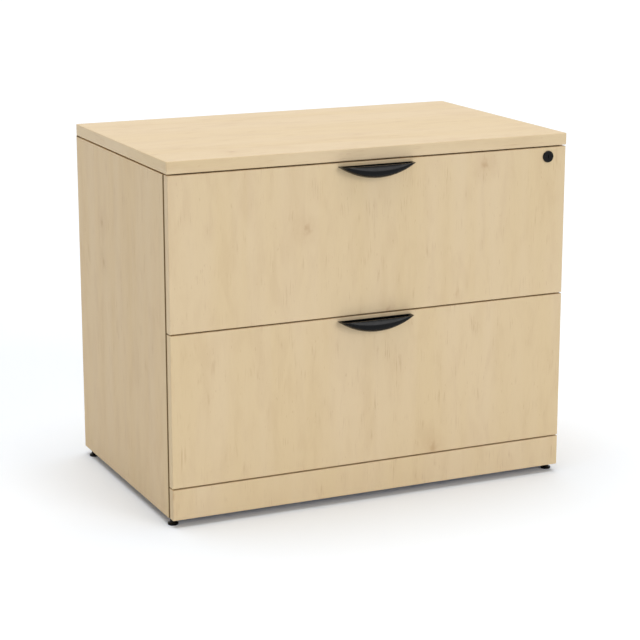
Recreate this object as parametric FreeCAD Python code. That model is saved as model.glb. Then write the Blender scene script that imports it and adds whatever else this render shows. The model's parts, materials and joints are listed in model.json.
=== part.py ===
import FreeCAD, Part
import math
import os

# Two-drawer lateral filing cabinet in maple laminate.
# Millimetres, +Z up, drawers open towards -Y. The origin is on the floor, in the
# middle of the rectangle that the whole cabinet covers, pulls included.

# Whole cabinet
overall_width = 901.7
case_depth = 558.8
overall_height = 749.3
glide_height = 16.8

# Boards of the case
top_thickness = 25.0
edge_band_thickness = 3.0
edge_band_radius = 2.0
side_thickness = 19.0
back_thickness = 16.0
bottom_thickness = 19.0
board_arris = 1.2
reveal_height = 3.0
reveal_depth = 8.0
reveal_back_stop = 4.0
base_rail_height = 64.5

# Drawer fronts and the gaps round them
drawer_names = ("lower", "upper")
front_thickness = 19.0
front_inset = 2.0
front_gap = 3.0
front_standoff = 3.0
front_arris = 1.5

# Top stretchers and the fittings that hold the boards
stretcher_thickness = 19.0
stretcher_depth = 75.0
stretcher_setback = 30.0
cam_fitting_radius = 7.5
cam_fitting_depth = 12.5
cam_fitting_inset = 32.0
cam_fitting_shares = (0.18, 0.82)
bracket_steel = 2.0
bracket_leg = 32.0
bracket_margin = 8.0

# Pan-head screws, and the cross-shaped recess of every screw and cam fitting
screw_head_radius = 4.0
screw_head_height = 2.2
screw_radius = 2.0
screw_bite = 11.0
recess_width = 0.9
recess_length = 3.6
recess_depth = 1.2
top_screw_shares = (-0.72, 0.72)
front_screw_x_shares = (-0.6, 0.6)
front_screw_z_shares = (0.22, 0.72)

# Half-moon pull
pull_half_width = 85.0
pull_height = 26.5
pull_drop = 7.0
pull_projection = 28.0
pull_rim_projection = 7.0
pull_wall = 3.0
pull_back_plate = 2.5
pull_swell_share = 0.69
pull_brow_radius = 14.5
pull_brow_drop = 10.0

# Face and brow of the pull aim this much past its projection, and cross at it
pull_crown_rise = 0.525

# Screws and bosses of the pull
pull_screw_spacing = 96.0
pull_boss_radius = 4.2
pull_boss_length = 7.0
pull_boss_drop = 8.0
pull_screw_bite = 6.0

# Drawer boxes
box_thickness = 12.0
box_rise = 22.0
box_back_clearance = 18.0
box_bottom_thickness = 6.0
box_bottom_rise = 10.0
box_groove = 6.0
box_arris = 1.5

# Hanging file rails
rail_steel = 3.0
rail_depth = 16.0
rail_fit = 0.3
rail_front_space = 24.0
rail_spacing = 311.0

# Telescopic slides
slide_clearance = 12.7
slide_height = 45.7
slide_steel = 1.5
slide_bend = 0.6
slide_lip = 1.2
slide_fit = 0.4
slide_setback = 3.0
slide_rise = 95.0
slide_mid_shortening = 12.0
slide_screw_shares = (0.12, 0.82)
slide_slot_shares = (0.24, 0.38, 0.52, 0.66)
slide_slot_length = 16.0
slide_slot_width = 5.0
slide_screw_head_radius = 3.6
slide_screw_radius = 1.8
slide_screw_bite = 8.0

# Rubber bumpers behind the fronts
bumper_radius = 4.0
bumper_fit = 0.2
bumper_z_shares = (0.08, 0.92)

# Lock in the upper drawer front
lock_side_inset = 45.5
lock_drop = 19.5
lock_head_radius = 12.3
lock_head_height = 3.0
lock_head_bevel = 1.2
lock_barrel_radius = 9.5
lock_plug_radius = 6.5
lock_plug_fit = 0.05
lock_plug_recess = 0.4
lock_key_slot_width = 1.6
lock_key_slot_length = 8.0
lock_key_slot_depth = 7.0
lock_nut_flats = 23.0
lock_nut_thickness = 3.6
lock_tail_width = 6.0
cam_steel = 2.0
cam_width = 11.0
cam_tip_clearance = 4.5
cam_box_clearance = 8.5
cam_screw_radius = 4.5
cam_screw_height = 2.4
strike_steel = 1.5
strike_setback = 1.0
strike_clearance = 0.8
strike_lip = 10.0
strike_leaf = 27.0
strike_height = 26.0

# Levelling glides
glide_foot_radius = 11.0
glide_foot_chamfer = 1.0
glide_neck_radius = 6.0
glide_stem_radius = 3.0
glide_stem_length = 24.0
glide_stem_fit = 0.05
glide_seat_gap = 0.3
glide_rim_share = 0.26
glide_bell_share = 0.6
glide_side_inset = 12.0
glide_front_inset = 7.5
glide_back_inset = 28.0
insert_radius = 4.5
insert_flange_radius = 7.0
insert_flange = 1.2
insert_length = 28.0

# Cuts run past the faces that they open by this much
overrun = 5.0

# Points closer than this count as one place
same_place = 0.001

# Places that several pieces share
half_width = overall_width / 2
side_inner_x = half_width - side_thickness
front_half_width = half_width - front_inset
front_y = (pull_projection - case_depth) / 2
back_y = front_y + case_depth
front_back_y = front_y + front_thickness
side_front_y = front_back_y + front_standoff
back_panel_y = back_y - back_thickness
case_bottom_z = glide_height
rail_top_z = case_bottom_z + base_rail_height
bottom_under_z = rail_top_z - bottom_thickness
top_under_z = overall_height - top_thickness
drawer_count = len(drawer_names)
fronts_room = top_under_z - rail_top_z - (drawer_count + 1) * front_gap
front_height = fronts_room / drawer_count
box_half_width = side_inner_x - slide_clearance
box_inner_x = box_half_width - box_thickness
box_back_y = back_panel_y - box_back_clearance
slide_front_y = side_front_y + slide_setback
lock_x = half_width - lock_side_inset
cam_reach = side_inner_x - lock_x - cam_tip_clearance
cam_front_y = side_front_y + strike_setback + strike_steel + strike_clearance
box_top_drop = lock_drop + cam_reach + cam_box_clearance
side_middle_x = half_width - side_thickness / 2
pull_aim = pull_projection + pull_crown_rise
glide_x = half_width - glide_side_inset
glide_places_y = {"front": side_front_y + glide_front_inset, "back": back_y - glide_back_inset}

V = FreeCAD.Vector


def block(x_range, y_range, z_range):
    """Rectangular board between the given limits."""
    corner = V(x_range[0], y_range[0], z_range[0])
    return Part.makeBox(x_range[1] - x_range[0], y_range[1] - y_range[0], z_range[1] - z_range[0], corner)


def rod(radius, start, end):
    """Round bar from one point to another."""
    axis = end - start
    return Part.makeCylinder(radius, axis.Length, start, axis)


def polygon(points):
    """Flat face inside a closed outline of points."""
    return Part.Face(Part.makePolygon(points + points[:1]))


def mirrored(shape):
    """The same piece on the other side of the cabinet."""
    return shape.mirror(V(0, 0, 0), V(1, 0, 0))


def on_both_sides(shape):
    """Right-hand piece and its mirror image, by side."""
    return {"left": mirrored(shape), "right": shape}


def edges_in_plane(shape, axis, place):
    """Edges that lie in the plane where the axis has the given value."""
    found = []
    for edge in shape.Edges:
        if all(abs(getattr(vertex.Point, axis) - place) < same_place for vertex in edge.Vertexes):
            found.append(edge)
    return found


def eased(shape, axis, place, radius):
    """Board with the arris round one of its faces rounded off."""
    return shape.makeFillet(radius, edges_in_plane(shape, axis, place))


def with_recess(fastener, direction):
    """Fastener with a cross-shaped recess for a screwdriver, sunk along direction into its outer face."""
    box = fastener.BoundBox
    reach = abs(V(box.XLength, box.YLength, box.ZLength).dot(direction)) / 2
    face = box.Center - direction * reach
    across = V(direction.y, direction.z, direction.x)
    for arm in (across, across.cross(direction)):
        half_arm = arm * (recess_length / 2)
        half_side = arm.cross(direction) * (recess_width / 2)
        outline = [face + half_arm + half_side, face + half_arm - half_side,
                   face - half_arm - half_side, face - half_arm + half_side]
        fastener = fastener.cut(polygon(outline).extrude(direction * recess_depth))
    return fastener


def pan_screw(seat, direction, length):
    """Pan-head screw whose head sits on seat and whose shank goes along direction."""
    head = rod(screw_head_radius, seat - direction * screw_head_height, seat)
    shank = rod(screw_radius, seat, seat + direction * length)
    return with_recess(head.fuse(shank).removeSplitter(), direction)


def flush_screw(seat, direction):
    """Countersunk screw, its recess not yet cut, whose head ends flush with the sheet steel that it holds."""
    under_head = seat + direction * slide_steel
    head = Part.makeCone(slide_screw_head_radius, slide_screw_radius, slide_steel, seat, direction)
    shank = rod(slide_screw_radius, under_head, under_head + direction * slide_screw_bite)
    return head.fuse(shank).removeSplitter()


def drilled(board, fasteners):
    """Board with the seats of its fasteners cut out of it."""
    return board.cut(Part.makeCompound(fasteners))


def top_pieces():
    """Core of the top and the band that is glued round its four edges."""
    x_range = (-half_width, half_width)
    y_range = (front_y, back_y)
    z_range = (top_under_z, overall_height)
    outer = block(x_range, y_range, z_range)
    corners = [edge for edge in outer.Edges if edge.Length < top_thickness + same_place]
    outer = outer.makeFillet(edge_band_thickness, corners)
    outer = eased(outer, "z", overall_height, edge_band_radius)
    outer = eased(outer, "z", top_under_z, edge_band_radius)
    core = block((x_range[0] + edge_band_thickness, x_range[1] - edge_band_thickness),
                 (y_range[0] + edge_band_thickness, y_range[1] - edge_band_thickness), z_range)
    return core, outer.cut(core)


def side_panel():
    """Right side panel, rebated along its top almost to the back, for a shadow line under the top."""
    panel = block((side_inner_x, half_width), (side_front_y, back_y), (case_bottom_z, top_under_z))
    panel = eased(panel, "x", half_width, board_arris)
    rebate = block((half_width - reveal_depth, half_width + overrun),
                   (side_front_y - overrun, back_y - reveal_back_stop),
                   (top_under_z - reveal_height, top_under_z + overrun))
    return panel.cut(rebate)


def glide_insert(y):
    """Flanged sleeve in the bottom edge of a side panel, bored for the stem of a glide."""
    foot = V(glide_x, y, case_bottom_z - insert_flange)
    seat = V(glide_x, y, case_bottom_z)
    end = V(glide_x, y, case_bottom_z + insert_length)
    body = rod(insert_flange_radius, foot, seat).fuse(rod(insert_radius, seat, end)).removeSplitter()
    return body.cut(rod(glide_stem_radius + glide_stem_fit, foot, end))


def insert_hole(y):
    """Hole that a glide insert is driven into."""
    return rod(insert_radius, V(glide_x, y, case_bottom_z), V(glide_x, y, case_bottom_z + insert_length))


def glide(x, y):
    """Levelling glide: a bell-shaped foot moulded on its threaded stem."""
    neck_top = case_bottom_z - insert_flange - glide_seat_gap
    rim = neck_top * glide_rim_share
    bell = neck_top * glide_bell_share
    stem_top = case_bottom_z + glide_stem_length
    middle = V(glide_neck_radius + (glide_foot_radius - glide_neck_radius) * glide_rim_share, 0,
               rim + (bell - rim) * (1 - glide_bell_share))
    corners = [V(0, 0, bell), V(0, 0, 0), V(glide_foot_radius - glide_foot_chamfer, 0, 0),
               V(glide_foot_radius, 0, glide_foot_chamfer), V(glide_foot_radius, 0, rim)]
    rest = [V(glide_neck_radius, 0, bell), V(glide_neck_radius, 0, neck_top),
            V(glide_stem_radius, 0, neck_top), V(glide_stem_radius, 0, stem_top), V(0, 0, stem_top),
            V(0, 0, bell)]
    flare = Part.Arc(corners[-1], middle, rest[0]).toShape()
    outline = Part.Wire(Part.makePolygon(corners).Edges + [flare] + Part.makePolygon(rest).Edges)
    turned = Part.Face(outline).revolve(V(0, 0, 0), V(0, 0, 1), 360)
    turned.translate(V(x, y, 0))
    return turned


def case_boards():
    """Boards of the case without their fittings, by name."""
    top, band = top_pieces()
    side = on_both_sides(side_panel())
    across = (-side_inner_x, side_inner_x)
    under_top = (top_under_z - stretcher_thickness, top_under_z)
    front_stretcher_y = side_front_y + stretcher_setback
    base_rail = block((-front_half_width, front_half_width), (front_y, front_back_y),
                      (case_bottom_z, rail_top_z))
    return {
        "top_panel": top,
        "top_edge_band": band,
        "left_side_panel": side["left"],
        "right_side_panel": side["right"],
        "back_panel": block(across, (back_panel_y, back_y), (case_bottom_z, top_under_z)),
        "bottom_panel": block(across, (front_back_y, back_panel_y), (bottom_under_z, rail_top_z)),
        "base_rail": eased(base_rail, "y", front_y, front_arris),
        "top_front_stretcher": block(across, (front_stretcher_y, front_stretcher_y + stretcher_depth),
                                     under_top),
        "top_back_stretcher": block(across, (back_panel_y - stretcher_depth, back_panel_y), under_top),
    }


def cam_fittings(board):
    """Round cam fittings, recesses not yet cut, let into the underside of a board near both of its ends."""
    box = board.BoundBox
    fittings = []
    for share in cam_fitting_shares:
        y = box.YMin + (box.YMax - box.YMin) * share
        for x in (box.XMin + cam_fitting_inset, box.XMax - cam_fitting_inset):
            fittings.append(rod(cam_fitting_radius, V(x, y, box.ZMin), V(x, y, box.ZMin + cam_fitting_depth)))
    return fittings


def base_rail_bracket():
    """Steel angle that holds the right end of the base rail to the side panel."""
    x, y = side_inner_x, front_back_y
    outline = [V(x, y, 0), V(x - bracket_leg, y, 0), V(x - bracket_leg, y + bracket_steel, 0),
               V(x - bracket_steel, y + bracket_steel, 0), V(x - bracket_steel, y + bracket_leg, 0),
               V(x, y + bracket_leg, 0)]
    low = case_bottom_z + bracket_margin
    high = bottom_under_z - bracket_margin
    angle = polygon(outline).extrude(V(0, 0, high - low))
    angle.translate(V(0, 0, low))
    return angle


def bracket_screws():
    """Screws through both leaves of the right-hand bracket."""
    z = (case_bottom_z + bottom_under_z) / 2
    middle = (bracket_leg + bracket_steel) / 2
    into_rail = pan_screw(V(side_inner_x - middle, front_back_y + bracket_steel, z), V(0, -1, 0), screw_bite)
    into_side = pan_screw(V(side_inner_x - bracket_steel, front_back_y + middle, z), V(1, 0, 0), screw_bite)
    return [into_rail, into_side]


def strike():
    """Steel angle on the right side panel, with the lip that the lock's cam goes behind."""
    low_y = side_front_y + strike_setback
    z = lock_z() - strike_height / 2
    x = side_inner_x
    outline = [V(x, low_y, z), V(x - strike_lip, low_y, z), V(x - strike_lip, low_y + strike_steel, z),
               V(x - strike_steel, low_y + strike_steel, z), V(x - strike_steel, low_y + strike_leaf, z),
               V(x, low_y + strike_leaf, z)]
    return polygon(outline).extrude(V(0, 0, strike_height))


def strike_screw():
    """Screw that holds the strike."""
    y = side_front_y + strike_setback + (strike_leaf + strike_lip) / 2
    return pan_screw(V(side_inner_x - strike_steel, y, lock_z()), V(1, 0, 0), screw_bite)


def top_screws(board):
    """Screws through a stretcher up into the top."""
    box = board.BoundBox
    y = (box.YMin + box.YMax) / 2
    seats = [V(box.XMax * share, y, box.ZMin) for share in top_screw_shares]
    return [pan_screw(seat, V(0, 0, 1), stretcher_thickness + screw_bite) for seat in seats]


def rounded_face(corners):
    """Flat face with square corners, each rounded to the radius given with it."""
    starts = []
    ends = []
    for before, corner, after in zip(corners[-1:] + corners[:-1], corners, corners[1:] + corners[:1]):
        point, radius = corner
        starts.append(point + (before[0] - point).normalize() * radius)
        ends.append(point + (after[0] - point).normalize() * radius)
    edges = []
    for (point, radius), start, end, onward in zip(corners, starts, ends, starts[1:] + starts[:1]):
        if radius:
            middle = point + (start + end - point - point) * (1 - math.sqrt(1 / 2))
            edges.append(Part.Arc(start, middle, end).toShape())
        edges.append(Part.makeLine(end, onward))
    return Part.Face(Part.Wire(edges))


def channel_section(start, reach, half_height):
    """Upper half of a C-shaped member with its lips turned in, as reach, height and corner radius."""
    outer_bend = slide_steel + slide_bend
    inner = half_height - slide_steel
    lip_end = inner - slide_lip
    return [(start, half_height, outer_bend), (reach, half_height, outer_bend), (reach, lip_end, 0),
            (reach - slide_steel, lip_end, 0), (reach - slide_steel, inner, slide_bend),
            (start + slide_steel, inner, slide_bend)]


def slide_sections():
    """Upper halves of the three nested slide members, from the side panel towards the drawer."""
    outer_bend = slide_steel + slide_bend
    cabinet_reach = slide_clearance - slide_steel - slide_fit - slide_fit
    cabinet_half = slide_height / 2
    mid_start = slide_steel + slide_fit
    mid_reach = cabinet_reach - slide_steel - slide_fit
    mid_half = cabinet_half - slide_steel - slide_fit
    lip_end = mid_half - slide_steel - slide_fit
    drawer_half = lip_end - slide_lip
    drawer_start = mid_reach - slide_steel - slide_fit - slide_steel
    drawer_section = [(slide_clearance, drawer_half, outer_bend),
                      (drawer_start + slide_steel, drawer_half, slide_bend),
                      (drawer_start + slide_steel, lip_end, 0), (drawer_start, lip_end, 0),
                      (drawer_start, drawer_half - slide_steel, outer_bend),
                      (slide_clearance - slide_steel, drawer_half - slide_steel, slide_bend)]
    return {
        "cabinet": channel_section(0, cabinet_reach, cabinet_half),
        "mid": channel_section(mid_start, mid_reach, mid_half),
        "drawer": drawer_section,
    }


def slide_slots(middle_z):
    """Round-ended mounting slots along the middle of the right-hand slide."""
    radius = slide_slot_width / 2
    half = slide_slot_length / 2 - radius
    x_range = (side_inner_x - slide_clearance, side_inner_x)
    tools = []
    for share in slide_slot_shares:
        y = slide_front_y + (box_back_y - slide_front_y) * share
        slot = block(x_range, (y - half, y + half), (middle_z - radius, middle_z + radius))
        ends = [rod(radius, V(x_range[0], place, middle_z), V(x_range[1], place, middle_z))
                for place in (y - half, y + half)]
        tools.append(slot.fuse(ends))
    return tools


def slide_member(section, middle_z, end_y):
    """Right-hand slide member of the given section, from the front of the slide to end_y."""
    lower = [(reach, -height, radius) for reach, height, radius in reversed(section)]
    corners = [(V(side_inner_x - reach, slide_front_y, middle_z + height), radius)
               for reach, height, radius in section + lower]
    member = rounded_face(corners).extrude(V(0, end_y - slide_front_y, 0))
    return member.cut(slide_slots(middle_z))


def slide_screw_places():
    """Places along the slide where it is screwed down."""
    return [slide_front_y + (box_back_y - slide_front_y) * share for share in slide_screw_shares]


def cabinet_channel_screws(middle_z):
    """Screws of the right cabinet channel, into the side panel."""
    x = side_inner_x - slide_steel
    return [flush_screw(V(x, y, middle_z), V(1, 0, 0)) for y in slide_screw_places()]


def drawer_channel_screws(middle_z):
    """Screws of the right drawer channel, into the side of the drawer box."""
    x = box_half_width + slide_steel
    return [flush_screw(V(x, y, middle_z), V(-1, 0, 0)) for y in slide_screw_places()]


def front_bottom_z(name):
    """Height of the lower edge of a drawer front."""
    return rail_top_z + front_gap + drawer_names.index(name) * (front_height + front_gap)


def slide_z(name):
    """Height of the middle of a drawer's slides."""
    return front_bottom_z(name) + slide_rise


def lock_z():
    """Height of the lock's axis."""
    return front_bottom_z("upper") + front_height - lock_drop


def lock_point(y):
    """Point on the lock's axis."""
    return V(lock_x, y, lock_z())


def dish(rim_radius, low, rim_projection, depth, lip_projection, past_lip, centre):
    """Ring turned about an axis square to the drawer front, its face swelling from the rim to the lip."""
    def place(radius, projection):
        return V(0, front_y - projection, centre.z - radius)

    lip_radius = rim_radius - depth
    shoulder = place(rim_radius - depth * (1 - pull_swell_share),
                     rim_projection + (lip_projection - rim_projection) * pull_swell_share)
    corners = [place(lip_radius, lip_projection), place(lip_radius - past_lip, lip_projection),
               place(lip_radius - past_lip, low), place(rim_radius, low), place(rim_radius, rim_projection)]
    swell = Part.Arc(corners[-1], shoulder, corners[0]).toShape()
    outline = Part.Wire(Part.makePolygon(corners).Edges + [swell])
    return Part.Face(outline).revolve(centre, V(0, 1, 0), 360)


def brow_cut(radius, top_z):
    """What is cut off a pull to round its top edge over, towards the lip, with the given radius."""
    axis_y = front_y - pull_aim + pull_brow_radius
    axis_z = top_z - pull_brow_drop
    reach = pull_half_width + overrun
    corner = block((-reach, reach), (front_y - pull_aim - overrun, axis_y),
                   (axis_z, axis_z + pull_height + overrun))
    return corner.cut(rod(radius, V(-reach, axis_y, axis_z), V(reach, axis_y, axis_z)))


def pull(top_z):
    """Half-moon pull, open at the top: the lower part of a hollow dish, with two screw bosses."""
    rim_radius = (pull_half_width ** 2 + pull_height ** 2) / (2 * pull_height)
    centre = V(0, front_y, top_z - pull_height + rim_radius)
    shell = dish(rim_radius, 0, pull_rim_projection, pull_height, pull_aim, overrun, centre)
    hollow = dish(rim_radius - pull_wall, pull_back_plate, pull_rim_projection, pull_height - pull_wall,
                  pull_aim - pull_wall, 2 * overrun, centre)
    past_tips = pull_half_width + overrun
    below_top = block((-past_tips, past_tips), (front_y - pull_aim - overrun, front_y),
                      (top_z - pull_height - overrun, top_z))
    rounded = shell.common(below_top).cut(brow_cut(pull_brow_radius, top_z))
    cup = rounded.cut(hollow.cut(brow_cut(pull_brow_radius - pull_wall, top_z)))
    for x in (-pull_screw_spacing / 2, pull_screw_spacing / 2):
        seat = V(x, front_y, top_z - pull_boss_drop)
        cup = cup.fuse(rod(pull_boss_radius, seat, seat - V(0, pull_back_plate + pull_boss_length, 0)))
    return cup.removeSplitter()


def pull_screws(top_z):
    """Screws from behind the front into the bosses of the pull."""
    seats = [V(side * pull_screw_spacing / 2, front_back_y, top_z - pull_boss_drop) for side in (-1, 1)]
    return [pan_screw(seat, V(0, -1, 0), front_thickness + pull_screw_bite) for seat in seats]


def front_screws(box_front_z, box_height):
    """Screws from inside the box through its front into the drawer front."""
    y = front_back_y + box_thickness
    seats = [V(box_inner_x * x_share, y, box_front_z + box_height * z_share)
             for x_share in front_screw_x_shares for z_share in front_screw_z_shares]
    return [pan_screw(seat, V(0, -1, 0), box_thickness + screw_bite) for seat in seats]


def bumpers(low_z):
    """Rubber bumpers on the back of a front, facing the edges of the side panels."""
    found = []
    for share in bumper_z_shares:
        z = low_z + front_height * share
        pad = rod(bumper_radius, V(side_middle_x, front_back_y, z),
                  V(side_middle_x, side_front_y - bumper_fit, z))
        found += on_both_sides(pad).values()
    return found


def file_rail(y, top_z):
    """Steel bar across the box, resting by its ends on the box sides."""
    hang_x = box_inner_x - rail_fit
    over = top_z + rail_steel
    under = over - rail_depth
    right = [(hang_x, under), (hang_x, top_z), (box_half_width, top_z), (box_half_width, over)]
    left = [(-x, z) for x, z in reversed(right)]
    return polygon([V(x, y, z) for x, z in right + left]).extrude(V(0, rail_steel, 0))


def box_boards(low_z, top_z):
    """Boards of a drawer box, its bottom held in grooves all round."""
    z_range = (low_z, top_z)
    y_range = (front_back_y, box_back_y)
    between = (-box_inner_x, box_inner_x)
    floor_z = low_z + box_bottom_rise
    floor = block((-box_inner_x - box_groove, box_inner_x + box_groove),
                  (front_back_y + box_thickness - box_groove, box_back_y - box_thickness + box_groove),
                  (floor_z, floor_z + box_bottom_thickness))
    side = eased(block((box_inner_x, box_half_width), y_range, z_range), "z", top_z, box_arris).cut(floor)
    return {
        "box_front": block(between, (front_back_y, front_back_y + box_thickness), z_range).cut(floor),
        "box_left_side": mirrored(side),
        "box_right_side": side,
        "box_back": block(between, (box_back_y - box_thickness, box_back_y), z_range).cut(floor),
        "box_bottom": floor,
    }


def drawer(name):
    """All pieces that slide out with one drawer, lock apart, by name."""
    low_z = front_bottom_z(name)
    high_z = low_z + front_height
    box_low_z = low_z + box_rise
    box_top_z = high_z - box_top_drop
    pull_top_z = high_z - pull_drop
    pieces = box_boards(box_low_z, box_top_z)

    front = block((-front_half_width, front_half_width), (front_y, front_back_y), (low_z, high_z))
    handle_screws = pull_screws(pull_top_z)
    box_screws = front_screws(box_low_z, box_top_z - box_low_z)
    pieces["front"] = drilled(eased(front, "y", front_y, front_arris), handle_screws + box_screws)
    pieces["box_front"] = drilled(pieces["box_front"], box_screws)
    pieces["pull"] = drilled(pull(pull_top_z), handle_screws)
    pieces["pull_screws"] = Part.makeCompound(handle_screws)
    pieces["front_screws"] = Part.makeCompound(box_screws)
    pieces["bumpers"] = Part.makeCompound(bumpers(low_z))

    first_rail_y = front_back_y + box_thickness + rail_front_space
    rails = [file_rail(y, box_top_z) for y in (first_rail_y, first_rail_y + rail_spacing)]
    pieces["file_rails"] = Part.makeCompound(rails)

    channel_screws = drawer_channel_screws(slide_z(name))
    channel = slide_member(slide_sections()["drawer"], slide_z(name), box_back_y)
    both_channels = on_both_sides(drilled(channel, channel_screws))
    for side, member in both_channels.items():
        pieces[side + "_drawer_channel"] = member
    pieces["box_right_side"] = drilled(pieces["box_right_side"], channel_screws)
    pieces["box_left_side"] = mirrored(pieces["box_right_side"])
    finished = [with_recess(screw, V(-1, 0, 0)) for screw in channel_screws]
    pieces["channel_screws"] = Part.makeCompound(finished + [mirrored(screw) for screw in finished])
    return pieces


def lock_housing():
    """Round lock body: a bevelled head on the front and a barrel through it, bored for the plug."""
    face_y = front_y - lock_head_height
    head = rod(lock_head_radius, lock_point(face_y), lock_point(front_y))
    head = eased(head, "y", face_y, lock_head_bevel)
    barrel = rod(lock_barrel_radius, lock_point(front_y), lock_point(cam_front_y))
    bore = rod(lock_plug_radius + lock_plug_fit, lock_point(face_y), lock_point(cam_front_y))
    return head.fuse(barrel).removeSplitter().cut(bore)


def lock_nut():
    """Six-sided nut that draws the lock against the back of the front."""
    corner_radius = lock_nut_flats / math.sqrt(3)
    corners = []
    for step in range(6):
        angle = math.radians(30 + 60 * step)
        corners.append(lock_point(front_back_y) + V(corner_radius * math.cos(angle), 0,
                                                    corner_radius * math.sin(angle)))
    nut = polygon(corners).extrude(V(0, lock_nut_thickness, 0))
    bore = rod(lock_barrel_radius, lock_point(front_back_y), lock_point(front_back_y + lock_nut_thickness))
    return nut.cut(bore)


def lock_plug():
    """Turning plug with its key slot in front and the square tail that carries the cam."""
    face_y = front_y - lock_head_height + lock_plug_recess
    plug = rod(lock_plug_radius, lock_point(face_y), lock_point(cam_front_y))
    half_slot = V(lock_key_slot_width / 2, 0, lock_key_slot_length / 2)
    low = lock_point(face_y) - half_slot
    high = lock_point(face_y) + half_slot
    slot = block((low.x, high.x), (face_y, face_y + lock_key_slot_depth), (low.z, high.z))
    return plug.cut(slot).fuse(cam_tail()).removeSplitter()


def cam_tail():
    """Square end of the plug, as long as the cam is thick."""
    half = lock_tail_width / 2
    return block((lock_x - half, lock_x + half), (cam_front_y, cam_front_y + cam_steel),
                 (lock_z() - half, lock_z() + half))


def lock_cam():
    """Flat cam on the tail of the plug, pointing down while the lock is open."""
    half = cam_width / 2
    eye = rod(half, lock_point(cam_front_y), lock_point(cam_front_y + cam_steel))
    tip = eye.copy()
    tip.translate(V(0, 0, half - cam_reach))
    arm = block((lock_x - half, lock_x + half), (cam_front_y, cam_front_y + cam_steel),
                (lock_z() - cam_reach + half, lock_z()))
    return eye.fuse([tip, arm]).removeSplitter().cut(cam_tail())


def cam_screw():
    """Head of the screw that keeps the cam on the plug."""
    low_y = cam_front_y + cam_steel
    head = rod(cam_screw_radius, lock_point(low_y), lock_point(low_y + cam_screw_height))
    return with_recess(head, V(0, -1, 0))


def case_pieces():
    """Boards and fittings of the case, by name."""
    boards = case_boards()
    channels = {}
    channel_screws = []
    for name in drawer_names:
        screws = cabinet_channel_screws(slide_z(name))
        channel_screws += screws
        member = slide_member(slide_sections()["cabinet"], slide_z(name), box_back_y)
        for side, channel in on_both_sides(drilled(member, screws)).items():
            channels["%s_%s_cabinet_channel" % (name, side)] = channel

    side_fixings = channel_screws + [bracket_screws()[1]]
    holes = [insert_hole(y) for y in glide_places_y.values()]
    right_side = drilled(boards["right_side_panel"], side_fixings + holes)
    boards["left_side_panel"] = mirrored(right_side)
    boards["right_side_panel"] = drilled(right_side, [strike_screw()])

    rail_screws = list(on_both_sides(bracket_screws()[0]).values())
    boards["base_rail"] = drilled(boards["base_rail"], rail_screws)
    side_screws = list(on_both_sides(bracket_screws()[1]).values())

    fittings = []
    lid_screws = []
    for name in ("top_front_stretcher", "top_back_stretcher"):
        board_fittings = cam_fittings(boards[name])
        board_screws = top_screws(boards[name])
        boards[name] = drilled(boards[name], board_fittings + board_screws)
        fittings += board_fittings
        lid_screws += board_screws
    bottom_fittings = cam_fittings(boards["bottom_panel"])
    boards["bottom_panel"] = drilled(boards["bottom_panel"], bottom_fittings)
    boards["top_panel"] = drilled(boards["top_panel"], lid_screws)

    bracket = drilled(base_rail_bracket(), bracket_screws())
    inserts = [glide_insert(y) for y in glide_places_y.values()]
    pieces = dict(boards)
    pieces.update(channels)
    pieces["cam_fittings"] = Part.makeCompound(
        [with_recess(fitting, V(0, 0, 1)) for fitting in fittings + bottom_fittings])
    pieces["base_rail_brackets"] = Part.makeCompound(list(on_both_sides(bracket).values()))
    pieces["case_screws"] = Part.makeCompound(lid_screws + rail_screws + side_screws + [strike_screw()])
    finished = [with_recess(screw, V(1, 0, 0)) for screw in channel_screws]
    pieces["cabinet_channel_screws"] = Part.makeCompound(finished + [mirrored(screw) for screw in finished])
    pieces["glide_inserts"] = Part.makeCompound(inserts + [mirrored(insert) for insert in inserts])
    pieces["lock_strike"] = drilled(strike(), [strike_screw()])
    return pieces


def moving_fittings():
    """Mid channels, glides and the turning parts of the lock, by name."""
    pieces = {}
    for name in drawer_names:
        member = slide_member(slide_sections()["mid"], slide_z(name), box_back_y - slide_mid_shortening)
        for side, channel in on_both_sides(member).items():
            pieces["%s_%s_mid_channel" % (name, side)] = channel
    for end, y in glide_places_y.items():
        for side, x in (("left", -glide_x), ("right", glide_x)):
            pieces["%s_%s_glide" % (end, side)] = glide(x, y)
    pieces["lock_plug"] = lock_plug()
    pieces["lock_cam"] = lock_cam()
    pieces["cam_screw"] = cam_screw()
    return pieces


def whole_cabinet():
    """Every piece of the cabinet, by node name."""
    pieces = case_pieces()
    pieces.update(moving_fittings())
    for name in drawer_names:
        for piece, shape in drawer(name).items():
            pieces["%s_%s" % (name, piece)] = shape
    pieces["lock_housing"] = lock_housing()
    pieces["lock_nut"] = lock_nut()
    pieces["upper_front"] = drilled(pieces["upper_front"],
                                    [rod(lock_barrel_radius, lock_point(front_y), lock_point(front_back_y))])
    return pieces


os.makedirs("parts", exist_ok=True)
for node, shape in whole_cabinet().items():
    shape.exportStep("parts/%s.step" % node)
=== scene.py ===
import json
import math
from collections import namedtuple

import bmesh
import bpy
from mathutils import Matrix, Vector


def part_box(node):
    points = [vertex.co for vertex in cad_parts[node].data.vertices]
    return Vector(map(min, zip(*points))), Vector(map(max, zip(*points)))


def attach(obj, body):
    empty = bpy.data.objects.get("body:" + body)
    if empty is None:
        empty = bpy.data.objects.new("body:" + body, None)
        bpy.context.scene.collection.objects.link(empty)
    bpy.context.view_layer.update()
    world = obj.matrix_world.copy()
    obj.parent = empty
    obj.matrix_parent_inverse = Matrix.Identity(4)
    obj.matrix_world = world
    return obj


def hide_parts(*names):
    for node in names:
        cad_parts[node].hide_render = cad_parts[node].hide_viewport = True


# Looks of a two-drawer lateral filing cabinet in maple laminate.
# Lengths are in metres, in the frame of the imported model. Tints are in sRGB, from 0 to 255.

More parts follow.
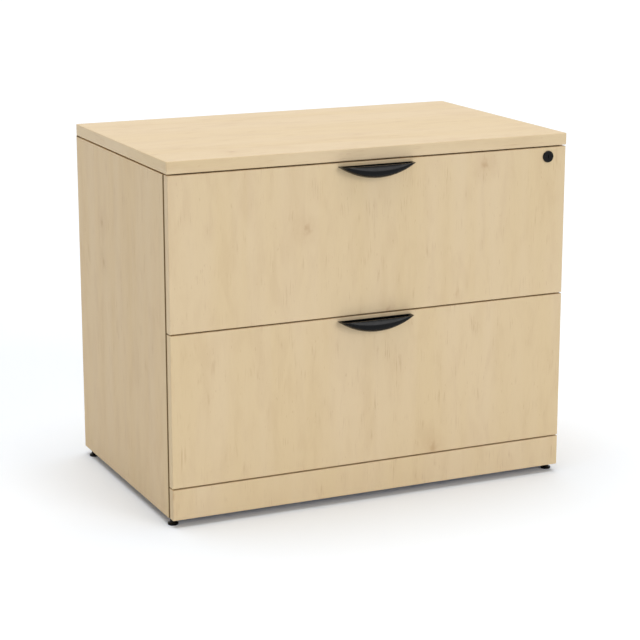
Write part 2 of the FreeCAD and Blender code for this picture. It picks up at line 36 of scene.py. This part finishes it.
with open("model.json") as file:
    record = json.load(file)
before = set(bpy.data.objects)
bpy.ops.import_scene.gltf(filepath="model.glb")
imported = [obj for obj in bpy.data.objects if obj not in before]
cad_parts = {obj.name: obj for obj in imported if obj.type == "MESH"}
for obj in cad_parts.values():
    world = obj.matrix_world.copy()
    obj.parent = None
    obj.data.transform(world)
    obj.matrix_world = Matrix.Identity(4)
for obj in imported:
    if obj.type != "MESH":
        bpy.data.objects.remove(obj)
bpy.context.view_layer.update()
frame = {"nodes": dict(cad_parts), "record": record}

# Camera: its place, how many degrees it looks to the right and down, and its lens in millimetres
camera_place = (-1.7711, -3.8425, 1.3784)
camera_yaw = 24.73
camera_pitch = 13.93
camera_lens = 112.06
camera_sensor = 36.0

# Light, as shares of a level at which a colour renders as it is written
white = (1.0, 1.0, 1.0, 1.0)
world_strength = 0.36
overhead_strength = 0.645
overhead_angle = 60.0
overhead_direction = (-0.03, 0.1, 1.0)
fill_strength = 0.262
fill_angle = 30.0
fill_direction = (0.5, -1.0, 0.42)

# Floor, with its shade and lift as linear colours, and how far the camera sees
floor_radius = 60.0
floor_sides = 96
floor_shade = (0.955, 0.98, 1.0)
floor_lift = (0.0, 0.01, 0.032)
camera_sight = 4 * floor_radius

# Curve between sRGB and linear shares
srgb_toe = 0.04045
srgb_slope = 12.92
srgb_offset = 0.055
srgb_power = 2.4

# Range that most of a noise lies in
noise_middle = (0.3, 0.7)

# Maple laminate
maple_pale = (223, 201, 166)
maple_tan = (221, 198, 159)
maple_brown = (168, 124, 84)
# Painted shade: the side panels take a slightly darker, warmer copy of the maple tints, set against
# the bluish light that falls on the sides
side_pale_painted_shade = (220, 196, 159)
side_tan_painted_shade = (218, 192, 150)
# Painted shade: a darker brown for the front edges of the side panels, standing for the shadow in
# the gap beside the drawer fronts
painted_gap_shade_brown = (140, 118, 84)
box_pale = (230, 213, 186)
box_tan = (228, 209, 175)
laminate_figure = 1.0
box_figure = 0.6
laminate_gloss = (0.2, 0.8)
laminate_roughness = (0.42, 0.5)
laminate_specular = 0.12
laminate_relief = -0.00002
# Painted shade: how far an edge faces the front before it takes the darker brown
painted_gap_shade_facing = (-0.8, -0.6)
board_shift = (0.37, 0.53, 0.71)

# Marks of the grain: width and length, detail and bend of their noise, and the range that shows;
# and how far each goes towards brown
Mark = namedtuple("Mark", "size detail bend shown")
maple_marks = {
    "band": Mark((0.075, 0.9), 3.0, 0.4, noise_middle),
    "cloud": Mark((0.03, 0.11), 3.0, 0.5, (0.4, 0.75)),
    "streak": Mark((0.0026, 0.05), 2.0, 0.0, (0.5, 0.72)),
    "streak_group": Mark((0.024, 0.05), 2.0, 0.0, (0.5, 0.75)),
    "fleck": Mark((0.0036, 0.016), 1.0, 0.0, (0.72, 0.8)),
    "pore": Mark((0.0006, 0.02), 1.0, 0.0, (0.52, 0.75)),
}
mark_depths = {"cloud": 0.1, "fine": 0.29, "fleck": 0.16, "pore": 0.05, "knot": 0.36}

# Knots: the cells they lie in, the bends of their outline, reach and depth, and which cells have one
knot_size = (0.2, 0.27)
knot_bend = (0.1, 0.1, 0.1)
knot_bend_scale = 18.0
knot_bend_detail = 3.0
knot_heart = (0.0, 0.06)
knot_heart_depth = 0.75
knot_halo = (0.03, 0.2)
knot_halo_depth = 0.25
knot_chance = (0.6, 0.95)

# Coated hardboard
hardboard_tints = ((222, 211, 190), (214, 202, 178))
hardboard_mottle = 0.004
hardboard_roughness = (0.5, 0.62)

# Black plastic and black lock
plastic_black = (7, 7, 8)
plastic_roughness = 0.22
plastic_relief = 0.000015
lock_black = (13, 13, 14)
lock_roughness = 0.27
lock_relief = 0.000004
plastic_texture = 0.0006
plastic_cloud = 0.012
plastic_shade = 0.8
plastic_spread = (-0.04, 0.05)
plastic_specular = 0.15

# Zinc on steel, and cast zinc
slide_zinc = (203, 206, 210)
slide_roughness = 0.34
screw_zinc = (206, 205, 200)
screw_roughness = 0.3
rail_roughness = 0.38
cast_zinc = (178, 179, 182)
cast_roughness = 0.46
rolling_size = (0.0006, 0.12)
rolling_relief = 0.00001
plating_cloud = (0.02, 0.14)
plating_shade = 0.94
plating_range = (0.6, 1.4)
plating_spread = (-0.05, 0.06)

# Rubber
rubber_grey = (196, 193, 186)
rubber_cloud = 0.003
rubber_shade = 1.05
rubber_roughness = (0.45, 0.55)
rubber_depth = 0.3
rubber_radius = (0.002, 0.002, 0.002)

# Pulls, as moulded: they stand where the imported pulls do, and the face rolls over into the brow
pull_rim = 0.007
pull_wall = 0.003
pull_back = 0.0025
pull_swell_share = 0.79
pull_brow_radius = 0.045
pull_brow_drop = 0.022
pull_roll = 0.008
pull_edge = 0.0006
pull_edge_steps = 2
pull_tip = 0.0012
pull_stations = 96
pull_steps = 32
pull_crowding = 1.6
boss_spacing = 0.096
boss_radius = 0.0042
boss_taper = 0.0003
boss_length = 0.007
boss_drop = 0.008
boss_sides = 32
weld_distance = 0.00001

# Curved faces are shaded smooth where they meet at less than this
smooth_angle = math.radians(32)


def linear(colour):
    """Colour in sRGB from 0 to 255, as the linear colour that shaders take."""
    bent = []
    for share in [part / 255 for part in colour]:
        if share <= srgb_toe:
            bent.append(share / srgb_slope)
        else:
            bent.append(((share + srgb_offset) / (1 + srgb_offset)) ** srgb_power)
    return (*bent, 1.0)


def shaded(colour, share):
    """Colour whose parts are a share of the given one's."""
    return [part * share for part in colour]


def set_inputs(tree, node, values):
    """Values or links on a node's inputs."""
    for name, value in values.items():
        if isinstance(value, bpy.types.NodeSocket):
            tree.links.new(value, node.inputs[name])
        else:
            node.inputs[name].default_value = value


def add(tree, kind, inputs=None, **settings):
    """New node of a kind, with its settings and with values or links on its inputs."""
    node = tree.nodes.new("ShaderNode" + kind)
    for name, value in settings.items():
        setattr(node, name, value)
    set_inputs(tree, node, inputs or {})
    return node


def math_node(tree, operation, first, second):
    """Result of one sum on two values."""
    return add(tree, "Math", {0: first, 1: second}, operation=operation).outputs["Value"]


def vector_node(tree, operation, *vectors):
    """Result of one sum on two or three vectors."""
    return add(tree, "VectorMath", dict(enumerate(vectors)), operation=operation).outputs["Vector"]


def coordinates(tree, along):
    """Object coordinates, or for a band round the edges the way round, the height and nothing."""
    place = add(tree, "TexCoord").outputs["Object"]
    if along in "XYZ":
        return place
    parts = add(tree, "SeparateXYZ", {0: place}).outputs
    way_round = math_node(tree, "ADD", parts["X"], parts["Y"])
    return add(tree, "CombineXYZ", {"X": way_round, "Y": parts["Z"]}).outputs["Vector"]


def stretched(tree, along, size, shift=(0, 0, 0)):
    """Coordinates scaled so that marks come out size[0] wide and size[1] long on the given axis."""
    scale = [1 / size[0]] * 3
    scale["XYZ".index(along[0])] = 1 / size[1]
    moved = vector_node(tree, "ADD", coordinates(tree, along), shift)
    return vector_node(tree, "MULTIPLY", moved, scale)


def noise(tree, vector, detail, bend=0.0):
    """Noise from 0 to 1 at the given coordinates."""
    inputs = {"Vector": vector, "Scale": 1.0, "Detail": detail, "Distortion": bend}
    return add(tree, "TexNoise", inputs).outputs["Fac"]


def even_noise(tree, size, detail):
    """Noise from 0 to 1 whose marks are as long as they are wide."""
    return noise(tree, stretched(tree, "X", (size, size)), detail)


def remap(tree, value, low, high, to_low=0.0, to_high=1.0):
    """Value moved smoothly from one range to another, and held within it."""
    inputs = {"Value": value, "From Min": low, "From Max": high,
              "To Min": to_low, "To Max": to_high}
    return add(tree, "MapRange", inputs, interpolation_type="SMOOTHSTEP").outputs["Result"]


def mix(tree, share, first, second):
    """Mix of two colours."""
    return add(tree, "Mix", {0: share, 6: first, 7: second}, data_type="RGBA").outputs[2]


def bump(tree, height, depth):
    """Normal for a surface with a relief of the given depth."""
    inputs = {"Height": height, "Strength": 1.0, "Distance": depth}
    return add(tree, "Bump", inputs).outputs["Normal"]


def new_material(name):
    """Material, its node tree and its surface shader."""
    material = bpy.data.materials.new(name)
    material.use_nodes = True
    tree = material.node_tree
    return material, tree, tree.nodes["Principled BSDF"]


def knots(tree, along, shift):
    """Shares from 0 to 1 of dark knots, few and far between."""
    parts = add(tree, "SeparateXYZ", {0: stretched(tree, along, knot_size, shift)}).outputs
    across = math_node(tree, "ADD", *[parts[axis] for axis in "XYZ" if axis != along[0]])
    place = add(tree, "CombineXYZ", {"X": across, "Y": parts[along[0]]}).outputs["Vector"]
    waves = {"Vector": place, "Scale": knot_bend_scale, "Detail": knot_bend_detail}
    bend = add(tree, "TexNoise", waves).outputs["Color"]
    bent = vector_node(tree, "MULTIPLY_ADD", bend, knot_bend, place)
    rooms = {"Vector": bent, "Scale": 1.0, "Randomness": 1.0}
    cells = add(tree, "TexVoronoi", rooms, voronoi_dimensions="2D").outputs
    heart = remap(tree, cells["Distance"], *knot_heart, knot_heart_depth, 0.0)
    halo = remap(tree, cells["Distance"], *knot_halo, knot_halo_depth, 0.0)
    draw = add(tree, "SeparateColor", {0: cells["Color"]}).outputs[0]
    return math_node(tree, "MULTIPLY", math_node(tree, "ADD", heart, halo),
                     remap(tree, draw, *knot_chance))


def with_painted_gap_shade(tree, colour):
    """Colour with painted shade on the edges that face the front: a darker brown that stands for the
    shadow in the gap beside the drawer fronts.
    """
    facing = add(tree, "SeparateXYZ", {0: add(tree, "TexCoord").outputs["Normal"]}).outputs["Y"]
    return mix(tree, remap(tree, facing, *painted_gap_shade_facing, 1.0, 0.0), colour, linear(painted_gap_shade_brown))


def maple(name, along, shift, pale, tan, figure_depth, paint_gap_shade=False):
    """Printed maple laminate whose grain runs along one axis, with painted shade on the edges that
    face the front where asked.
    """
    material, tree, shader = new_material(name)
    raw = {kind: noise(tree, stretched(tree, along, mark.size, shift), mark.detail, mark.bend)
           for kind, mark in maple_marks.items()}
    layers = {kind: remap(tree, value, *maple_marks[kind].shown) for kind, value in raw.items()}
    layers["fine"] = math_node(tree, "MULTIPLY", layers["streak"], layers["streak_group"])
    layers["knot"] = knots(tree, along, shift)

    marks = 0.0
    for kind, depth in mark_depths.items():
        marks = math_node(tree, "ADD", marks, math_node(tree, "MULTIPLY", layers[kind], depth))
    share = math_node(tree, "MULTIPLY", marks, figure_depth)
    tint = mix(tree, layers["band"], linear(pale), linear(tan))
    colour = mix(tree, share, tint, linear(maple_brown))
    relief = math_node(tree, "ADD", layers["fine"], layers["pore"])
    set_inputs(tree, shader, {
        # painted shade on the front edges where asked
        "Base Color": with_painted_gap_shade(tree, colour) if paint_gap_shade else colour,
        "Roughness": remap(tree, raw["streak"], *laminate_gloss, *laminate_roughness),
        "Specular IOR Level": laminate_specular,
        "Normal": bump(tree, relief, laminate_relief),
    })
    return material


def hardboard(name):
    """Smooth coated board with a faint mottle."""
    material, tree, shader = new_material(name)
    mottle = even_noise(tree, hardboard_mottle, detail=4.0)
    tints = [linear(tint) for tint in hardboard_tints]
    set_inputs(tree, shader, {
        "Base Color": mix(tree, remap(tree, mottle, *noise_middle), *tints),
        "Roughness": remap(tree, mottle, *noise_middle, *hardboard_roughness),
    })
    return material


def moulded(name, colour, roughness, relief):
    """Black finish with a fine even texture."""
    material, tree, shader = new_material(name)
    texture = even_noise(tree, plastic_texture, detail=2.0)
    cloud = even_noise(tree, plastic_cloud, detail=3.0)
    spread = [roughness + part for part in plastic_spread]
    set_inputs(tree, shader, {
        "Base Color": mix(tree, cloud, linear(shaded(colour, plastic_shade)), linear(colour)),
        "Roughness": remap(tree, cloud, *noise_middle, *spread),
        "Specular IOR Level": plastic_specular,
        "Normal": bump(tree, texture, relief),
    })
    return material


def plated(name, colour, roughness, along="Y"):
    """Zinc finish with the faint lines of rolling along one axis."""
    material, tree, shader = new_material(name)
    lines = noise(tree, stretched(tree, along, rolling_size), detail=3.0)
    cloud = noise(tree, stretched(tree, along, plating_cloud), detail=2.0)
    dull = linear(shaded(colour, plating_shade))
    spread = [roughness + part for part in plating_spread]
    set_inputs(tree, shader, {
        "Base Color": mix(tree, remap(tree, cloud, *noise_middle), dull, linear(colour)),
        "Metallic": 1.0,
        "Roughness": remap(tree, math_node(tree, "ADD", lines, cloud), *plating_range, *spread),
        "Normal": bump(tree, lines, rolling_relief),
    })
    return material


def rubber(name):
    """Soft grey rubber that lets some light in."""
    material, tree, shader = new_material(name)
    cloud = even_noise(tree, rubber_cloud, detail=2.0)
    lighter = linear(shaded(rubber_grey, rubber_shade))
    set_inputs(tree, shader, {
        "Base Color": mix(tree, cloud, linear(rubber_grey), lighter),
        "Roughness": remap(tree, cloud, *noise_middle, *rubber_roughness),
        "Subsurface Weight": rubber_depth,
        "Subsurface Radius": rubber_radius,
    })
    return material


def grain_axis(node):
    """Axis that the grain of a board runs along, or X round the edges for the edge band."""
    if node == "top_edge_band":
        return "X round"
    if node.startswith("top") or node == "bottom_panel" or "box" in node:
        return "Y" if "_side" in node else "X"
    return "Z"


def board_material(node, slot, place):
    """Maple of one board, with a part of the print that no other board shows."""
    along = grain_axis(node)
    shift = [share * place for share in board_shift]
    # Side panels take the darker, warmer copy of the maple tints, as painted shade
    if node.endswith("side_panel"):
        # The side panels carry painted shade on their front edges
        return maple("laminate_" + node, along, shift, side_pale_painted_shade, side_tan_painted_shade, laminate_figure, True)
    if slot == "drawer_box_board":
        return maple("board_" + node, along, shift, box_pale, box_tan, box_figure)
    return maple("laminate_" + node, along, shift, maple_pale, maple_tan, laminate_figure)


def smooth(data):
    """Smooth shading on a mesh, apart from its sharp edges."""
    data.shade_smooth()
    data.set_sharp_from_angle(angle=smooth_angle)


def arc_through(first, second, third):
    """Height of the arc through three points, above any place between the first and the last."""
    rows = [Vector(second) - Vector(first), Vector(third) - Vector(first)]
    halves = [row.length_squared / 2 for row in rows]
    cross = rows[0].x * rows[1].y - rows[0].y * rows[1].x
    centre = Vector(((halves[0] * rows[1].y - halves[1] * rows[0].y) / cross,
                     (halves[1] * rows[0].x - halves[0] * rows[1].x) / cross))
    radius = centre.length
    centre += Vector(first)
    return lambda place: centre.y + math.sqrt(max(radius ** 2 - (place - centre.x) ** 2, 0))


def rolled(first, second):
    """The smaller of two heights, with the edge between them rolled over."""
    share = max(pull_roll - abs(first - second), 0) / pull_roll
    return min(first, second) - share ** 2 * pull_roll / 4


def pull_skin(half, height, reach, inset):
    """Skin of a pull at a depth inside its wall, as two functions.

    The first gives how far below the top the skin ends at a place across the pull, the second
    how far it stands out at a place across and below the top.
    """
    rim_radius = (half ** 2 + height ** 2) / (2 * height)
    deep, out = height - inset, reach - inset
    swollen = (deep * (1 - pull_swell_share), pull_rim + (out - pull_rim) * pull_swell_share)
    swell = arc_through((0, pull_rim), swollen, (deep, out))

    def foot(across):
        return height - rim_radius + math.sqrt((rim_radius - inset) ** 2 - across ** 2)

    def stand(across, below):
        inward = rim_radius - inset - math.hypot(across, rim_radius - height + below)
        above = max(pull_brow_drop - below, 0)
        brow = reach - pull_brow_radius + math.sqrt((pull_brow_radius - inset) ** 2 - above ** 2)
        return rolled(swell(min(max(inward, 0), deep)), brow)

    return foot, stand


def pull_section(across, outer, inner):
    """Closed outline of a pull at a place across it.

    Each point says how far it stands out and how far it is below the top.
    """
    steps = [(step / pull_steps) ** pull_crowding for step in range(pull_steps + 1)]
    foot, stand = outer
    bottom = max(foot(across), 0)
    face = [(stand(across, bottom * (1 - step)), bottom * (1 - step)) for step in steps]
    foot, stand = inner
    floor_depth = max(foot(across), 0)
    hollow = [(min(stand(across, floor_depth * (1 - step)), face[-1][0]), floor_depth * (1 - step))
              for step in reversed(steps)]
    return [(0, 0), (0, bottom), *face, *hollow, (pull_back, floor_depth), (pull_back, 0)]


def add_shell(mesh, low, high):
    """Hollow shell of a pull, lofted through its sections and stretched to its full reach."""
    half, height, reach = (high.x - low.x) / 2, high.z - low.z, high.y - low.y
    outer, inner = [pull_skin(half, height, reach, inset) for inset in (0, pull_wall)]
    crown = max(outer[1](0, height * step / pull_steps) for step in range(pull_steps))
    stretch = (reach - pull_rim) / (crown - pull_rim)
    rings = []
    for station in range(pull_stations + 1):
        across = -(half - pull_tip) * math.cos(math.pi * station / pull_stations)
        ring = []
        for out, below in pull_section(across, outer, inner):
            grown = pull_rim + (out - pull_rim) * stretch if out > pull_rim else out
            ring.append(mesh.verts.new((across, high.y - grown, high.z - below)))
        rings.append(ring)
    for ring, following in zip(rings, rings[1:]):
        for place in range(len(ring)):
            mesh.faces.new((ring[place - 1], ring[place], following[place], following[place - 1]))
    mesh.faces.new(rings[0])
    mesh.faces.new(rings[-1])
    bmesh.ops.remove_doubles(mesh, verts=mesh.verts, dist=weld_distance)
    bmesh.ops.dissolve_degenerate(mesh, edges=mesh.edges, dist=weld_distance)


def add_bosses(mesh, high):
    """Two tapered screw bosses on the back wall of a pull."""
    for side in (-1, 1):
        middle = high.y - (pull_back + boss_length) / 2
        seat = Matrix.Translation((side * boss_spacing / 2, middle, high.z - boss_drop))
        bmesh.ops.create_cone(mesh, cap_ends=True, segments=boss_sides, radius1=boss_radius,
                              radius2=boss_radius - boss_taper,
                              depth=boss_length + pull_back - pull_edge,
                              matrix=seat @ Matrix.Rotation(math.pi / 2, 4, "X"))


def moulded_pull(name, node, body, material):
    """Half-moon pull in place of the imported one: a hollow shell with a rolled brow, and bosses."""
    low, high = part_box(node)
    mesh = bmesh.new()
    add_shell(mesh, low, high)
    add_bosses(mesh, high)
    bmesh.ops.recalc_face_normals(mesh, faces=mesh.faces)
    data = bpy.data.meshes.new(name)
    mesh.to_mesh(data)
    mesh.free()
    piece = bpy.data.objects.new(name, data)
    bpy.context.scene.collection.objects.link(piece)
    data.materials.append(material)
    smooth(data)
    edges = piece.modifiers.new("rounded_edges", "BEVEL")
    edges.width = pull_edge
    edges.segments = pull_edge_steps
    edges.limit_method = "ANGLE"
    edges.angle_limit = smooth_angle
    edges.harden_normals = True
    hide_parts(node)
    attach(piece, body)


def dress_cad():
    """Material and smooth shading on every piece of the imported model, and the moulded pulls."""
    slots = {part["node"]: part["material_slot"] for part in frame["record"]["subparts"]}
    plain = {
        "drawer_bottom_board": hardboard("coated_hardboard"),
        "black_plastic": moulded("moulded_black_plastic", plastic_black, plastic_roughness,
                                 plastic_relief),
        "black_lock": moulded("black_lock_enamel", lock_black, lock_roughness, lock_relief),
        "slide_steel": plated("plated_slide_steel", slide_zinc, slide_roughness),
        "zinc_steel": plated("plated_fittings", screw_zinc, screw_roughness),
        "cast_zinc": plated("die_cast_zinc", cast_zinc, cast_roughness),
        "bumper_rubber": rubber("bumper_rubber"),
    }
    rail_steel = plated("plated_file_rails", screw_zinc, rail_roughness, "X")
    names = sorted(slots)
    for node, slot in slots.items():
        if node.endswith("file_rails"):
            material = rail_steel
        elif slot in plain:
            material = plain[slot]
        else:
            material = board_material(node, slot, names.index(node))
        piece = frame["nodes"][node]
        piece.material_slots[0].material = material
        smooth(piece.data)
    for drawer in ("upper", "lower"):
        pull = drawer + "_pull"
        moulded_pull(pull + "_moulding", pull, drawer + "_drawer", plain["black_plastic"])


def background_rays(tree):
    """1 for rays by which the camera sees, straight, in gloss or through glass, and 0 for light."""
    path = add(tree, "LightPath").outputs
    seen = math_node(tree, "MAXIMUM", path["Is Camera Ray"], path["Is Glossy Ray"])
    return math_node(tree, "MAXIMUM", seen, path["Is Transmission Ray"])


def floor():
    """Plain pale floor, lifted a little against the warm light that the maple throws on it."""
    bpy.ops.mesh.primitive_circle_add(vertices=floor_sides, radius=floor_radius, fill_type="NGON")
    ground = bpy.context.object
    ground.name = "floor"
    material, tree, shader = new_material("floor_white")
    set_inputs(tree, shader, {
        "Base Color": (*floor_shade, 1.0),
        "Roughness": 1.0,
        "Specular IOR Level": 0.0,
        "Emission Color": (*floor_lift, 1.0),
        "Emission Strength": background_rays(tree),
    })
    ground.data.materials.append(material)


def sun(name, direction, strength, angle):
    """Soft lamp that shines from the given direction, as strong everywhere."""
    lamp = bpy.data.lights.new(name, "SUN")
    lamp.energy = strength * math.pi
    lamp.angle = math.radians(angle)
    made = bpy.data.objects.new(name, lamp)
    made.rotation_mode = "QUATERNION"
    made.rotation_quaternion = Vector(direction).to_track_quat("Z", "Y")
    bpy.context.scene.collection.objects.link(made)


def studio():
    """Soft light from all round, a large lamp overhead, one in front, and a white background."""
    world = bpy.data.worlds.new("studio")
    bpy.context.scene.world = world
    world.use_nodes = True
    tree = world.node_tree
    light = tree.nodes["Background"]
    set_inputs(tree, light, {"Color": white, "Strength": world_strength})
    backdrop = add(tree, "Background", {"Color": white, "Strength": 1.0})
    both = add(tree, "MixShader", {0: background_rays(tree), 1: light.outputs[0],
                                   2: backdrop.outputs[0]})
    tree.links.new(both.outputs[0], tree.nodes["World Output"].inputs["Surface"])
    sun("overhead", overhead_direction, overhead_strength, overhead_angle)
    sun("fill", fill_direction, fill_strength, fill_angle)
    bpy.context.scene.view_settings.view_transform = "Standard"


def camera():
    """Camera at the photograph's viewing angle."""
    lens = bpy.data.cameras.new("camera")
    lens.lens = camera_lens
    lens.sensor_width = camera_sensor
    lens.clip_end = camera_sight
    made = bpy.data.objects.new("camera", lens)
    yaw, pitch = math.radians(camera_yaw), math.radians(camera_pitch)
    level = math.cos(pitch)
    ahead = Vector((math.sin(yaw) * level, math.cos(yaw) * level, -math.sin(pitch)))
    made.location = camera_place
    made.rotation_mode = "QUATERNION"
    made.rotation_quaternion = ahead.to_track_quat("-Z", "Y")
    bpy.context.scene.collection.objects.link(made)
    bpy.context.scene.camera = made


dress_cad()
floor()
studio()
camera()
